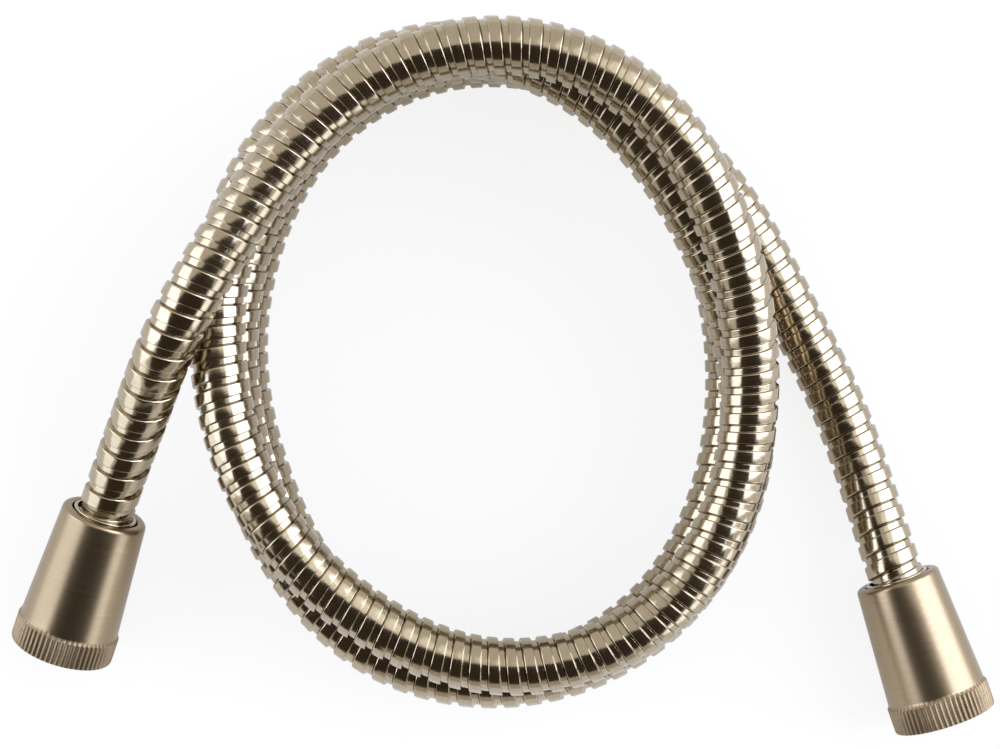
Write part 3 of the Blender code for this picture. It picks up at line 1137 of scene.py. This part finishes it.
@dataclass(frozen=True)
class Card:
    """A flat card with round corners that only reflections see, and only from its front.

    Attributes:
        name: The card's name.
        way: Where its middle is.
        half_width: Half its width as an angle seen from its target.
        half_height: Half its height as an angle.
        squareness: 2 for an ellipse, more for squarer corners.
        colour: What a mirror shows of it.
        distance: How far it stands from its target.
        target: The point that it faces.
        roll: How far it is turned about its own middle, in degrees.
    """

    name: str
    way: Direction
    half_width: float
    half_height: float
    squareness: float
    colour: Point
    distance: float
    target: Point
    roll: float = 0.0

    CORNERS = 64

    def _outline(self) -> list[Point]:
        """The card's corners in its own plane.

        Returns:
            The corners, which are CORNERS in number.
        """
        half_x = self.distance * math.tan(math.radians(self.half_width))
        half_y = self.distance * math.tan(math.radians(self.half_height))
        corners = []
        for i in range(self.CORNERS):
            turn = math.tau * i / self.CORNERS
            x, y = math.cos(turn), math.sin(turn)
            reach = (abs(x) ** self.squareness + abs(y) ** self.squareness) ** (-1 / self.squareness)
            corners.append((half_x * reach * x, half_y * reach * y, 0.0))
        return corners

    def build(self) -> bpy.types.Object:
        """Make the card.

        Returns:
            The card.
        """
        mesh = bpy.data.meshes.new(self.name)
        mesh.from_pydata(self._outline(), [], [tuple(reversed(range(self.CORNERS)))])
        material = bpy.data.materials.new(self.name)
        material.use_nodes = True
        graph = Graph(material.node_tree)
        glow = graph.node("ShaderNodeEmission", {}, {"Color": (*self.colour, 1.0), "Strength": 1.0})
        clear = graph.node("ShaderNodeBsdfTransparent", {}, {})
        behind = graph.node("ShaderNodeNewGeometry", {}, {}, "Backfacing")
        surface = graph.node("ShaderNodeMixShader", {}, {0: behind, 1: glow, 2: clear})
        graph.node("ShaderNodeOutputMaterial", {}, {"Surface": surface})
        mesh.materials.append(material)
        made = bpy.data.objects.new(self.name, mesh)
        made.visible_diffuse = False
        made.visible_shadow = False
        face_target(made, self.way.at(self.distance, self.target), self.target, self.roll)
        return made


MIDDLE = (0.0, 0.06, 0.02)
LEFT_LEG_FOOT = (-0.090, 0.047, 0.033)
RIGHT_LEG_FOOT = (0.0915, 0.030, 0.017)
STUDIO_RADIUS = 3.0
FLOOR_SIZE = 24.0
FLOOR_COLOUR = (0.78, 0.78, 0.78)
FLOOR_ROUGHNESS = 0.8
FLOOR_WHITE_SHARE = 0.85
REFLECTED_WHITE_SHARE = 0.35
ROOM_COLOUR = (0.95, 0.94, 0.92)
SOFTBOX_COLOUR = (0.90, 1.0, 1.27)
DARK = (0.055, 0.042, 0.030)
SOFTBOXES = [
    Softbox("right_softbox", Direction(12.5, 60.0), 24.0, 29.0, 3.9, SOFTBOX_COLOUR),
    Softbox("left_softbox", Direction(173.0, 66.0), 27.0, 23.0, 2.5, SOFTBOX_COLOUR),
]
CARDS = [
    Card("dark_ceiling", Direction(-92.0, 31.5), 43.0, 37.5, 3.4, DARK, 3.2, MIDDLE),
    Card("bright_corner", Direction(44.0, 37.0), 15.0, 25.0, 2.6, (1.75, 1.78, 1.80), 3.5, MIDDLE),
    Card("low_front", Direction(-90.0, 81.0), 66.0, 13.0, 4.0, (0.66, 0.64, 0.61), 3.8, MIDDLE),
    Card("left_flag", Direction(-104.0, 77.0), 27.0, 13.0, 3.0, DARK, 0.11, LEFT_LEG_FOOT),
    Card("left_glow", Direction(-157.0, 77.0), 18.0, 20.0, 3.0, (2.1, 2.3, 2.6), 0.08, LEFT_LEG_FOOT),
    Card("front_glow", Direction(-38.0, 78.0), 16.0, 11.0, 3.0, (2.5, 2.7, 3.1), 3.0, MIDDLE),
    Card("right_flag", Direction(169.0, 29.0), 22.0, 13.0, 3.0, DARK, 0.09, RIGHT_LEG_FOOT, roll=33.0),
]


def make_floor() -> bpy.types.Object:
    """The white table: mostly plain white to the camera, partly so in reflections, with a soft shadow.

    Returns:
        The table.
    """
    half = FLOOR_SIZE / 2
    corners = [(-half, -half, 0.0), (half, -half, 0.0), (half, half, 0.0), (-half, half, 0.0)]
    mesh = bpy.data.meshes.new("table")
    mesh.from_pydata(corners, [], [(0, 1, 2, 3)])
    material = bpy.data.materials.new("white_table")
    material.use_nodes = True
    graph = Graph(material.node_tree)
    inputs = {"Base Color": (*FLOOR_COLOUR, 1.0), "Roughness": FLOOR_ROUGHNESS}
    paper = graph.node("ShaderNodeBsdfPrincipled", {}, inputs)
    white = graph.node("ShaderNodeEmission", {}, {"Color": (1.0, 1.0, 1.0, 1.0), "Strength": 1.0})
    rays = ("Is Camera Ray", "Is Glossy Ray", "Is Transmission Ray")
    seen, glossy, through = (graph.node("ShaderNodeLightPath", {}, {}, ray) for ray in rays)
    share = (seen * FLOOR_WHITE_SHARE + (glossy + through) * REFLECTED_WHITE_SHARE).clamp()
    surface = graph.node("ShaderNodeMixShader", {}, {0: share, 1: paper, 2: white})
    graph.node("ShaderNodeOutputMaterial", {}, {"Surface": surface})
    mesh.materials.append(material)
    made = bpy.data.objects.new("table", mesh)
    bpy.context.scene.collection.objects.link(made)
    return made


def make_world() -> None:
    """A plain warm grey room."""
    world = bpy.data.worlds.new("room")
    bpy.context.scene.world = world
    world.use_nodes = True
    graph = Graph(world.node_tree)
    room = graph.node("ShaderNodeBackground", {}, {"Color": (*ROOM_COLOUR, 1.0), "Strength": 1.0})
    graph.node("ShaderNodeOutputWorld", {}, {"Surface": room})


def make_camera() -> None:
    """The camera over the coil."""
    data = bpy.data.cameras.new("camera")
    data.sensor_width = SENSOR_WIDTH
    data.lens = FOCAL_LENGTH
    camera = bpy.data.objects.new("camera", data)
    camera.location = CAMERA_PLACE
    bpy.context.scene.collection.objects.link(camera)
    bpy.context.scene.camera = camera


def make_hose(materials: dict[str, bpy.types.Material]) -> list[bpy.types.Object]:
    """The casing, its liner and both ends, put on their bodies.

    Args:
        materials: The materials by finish name.

    Returns:
        The pieces.
    """
    route = Route()
    casing = Casing(route).build(materials[CASING_FINISH.name])
    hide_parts("outer_hose")
    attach(casing, "hose")
    tube = Liner(route).build(materials[TUBE_FINISH.name])
    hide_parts("inner_tube")
    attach(tube, "hose")
    ends = make_end(LEFT_END, materials) + make_end(RIGHT_END, materials)
    centre, _, _, _ = route.at(np.linspace(0.0, route.length, PATH_POINTS))
    return [casing, tube] + ends


def main() -> None:
    """Build the hose, its studio and its camera."""
    logging.basicConfig(level=logging.INFO)
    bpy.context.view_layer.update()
    make_camera()
    materials = {finish.name: finish.material() for finish in FINISHES}
    for piece in make_hose(materials):
        log.info("%s: %d faces", piece.name, len(piece.data.polygons))
    log.info("%s built", make_floor().name)
    make_world()
    for item in SOFTBOXES + CARDS:
        log.info("%s built", item.build().name)
    bpy.context.scene.view_settings.view_transform = "Standard"
    log.info("boxes written")


if __name__ == "__main__":
    main()
